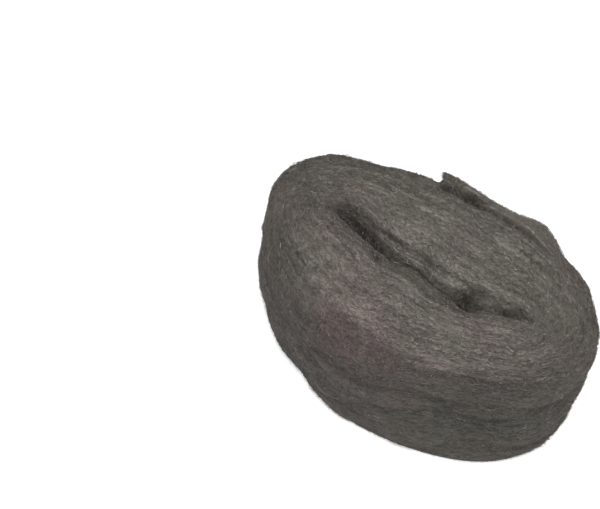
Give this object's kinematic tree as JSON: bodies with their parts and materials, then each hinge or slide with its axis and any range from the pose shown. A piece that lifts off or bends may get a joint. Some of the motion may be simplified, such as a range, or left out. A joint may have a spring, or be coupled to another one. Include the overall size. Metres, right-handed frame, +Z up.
{
  "type": "metal scourer",
  "caption": "Oval roll of fine steel wool for scouring: a long strip wound on itself, standing on its flat end, with a loose tail at the back.",
  "frame": {"origin": "under the middle of the roll's box, on the surface that it stands on", "axes": "+Z up, along the axis that the strip is wound about; +X along the flattened core, the roll's length; +Y to the side where the strip's loose tail lies"},
  "size_m": [0.146, 0.0934, 0.0766],
  "materials": {
    "steel_wool": "matted fine steel fibres, dull warm grey with small bright glints, running along the winding"
  },
  "bodies": {
    "root": {"steel_wool_roll": "steel_wool"}
  },
  "joints": []
}
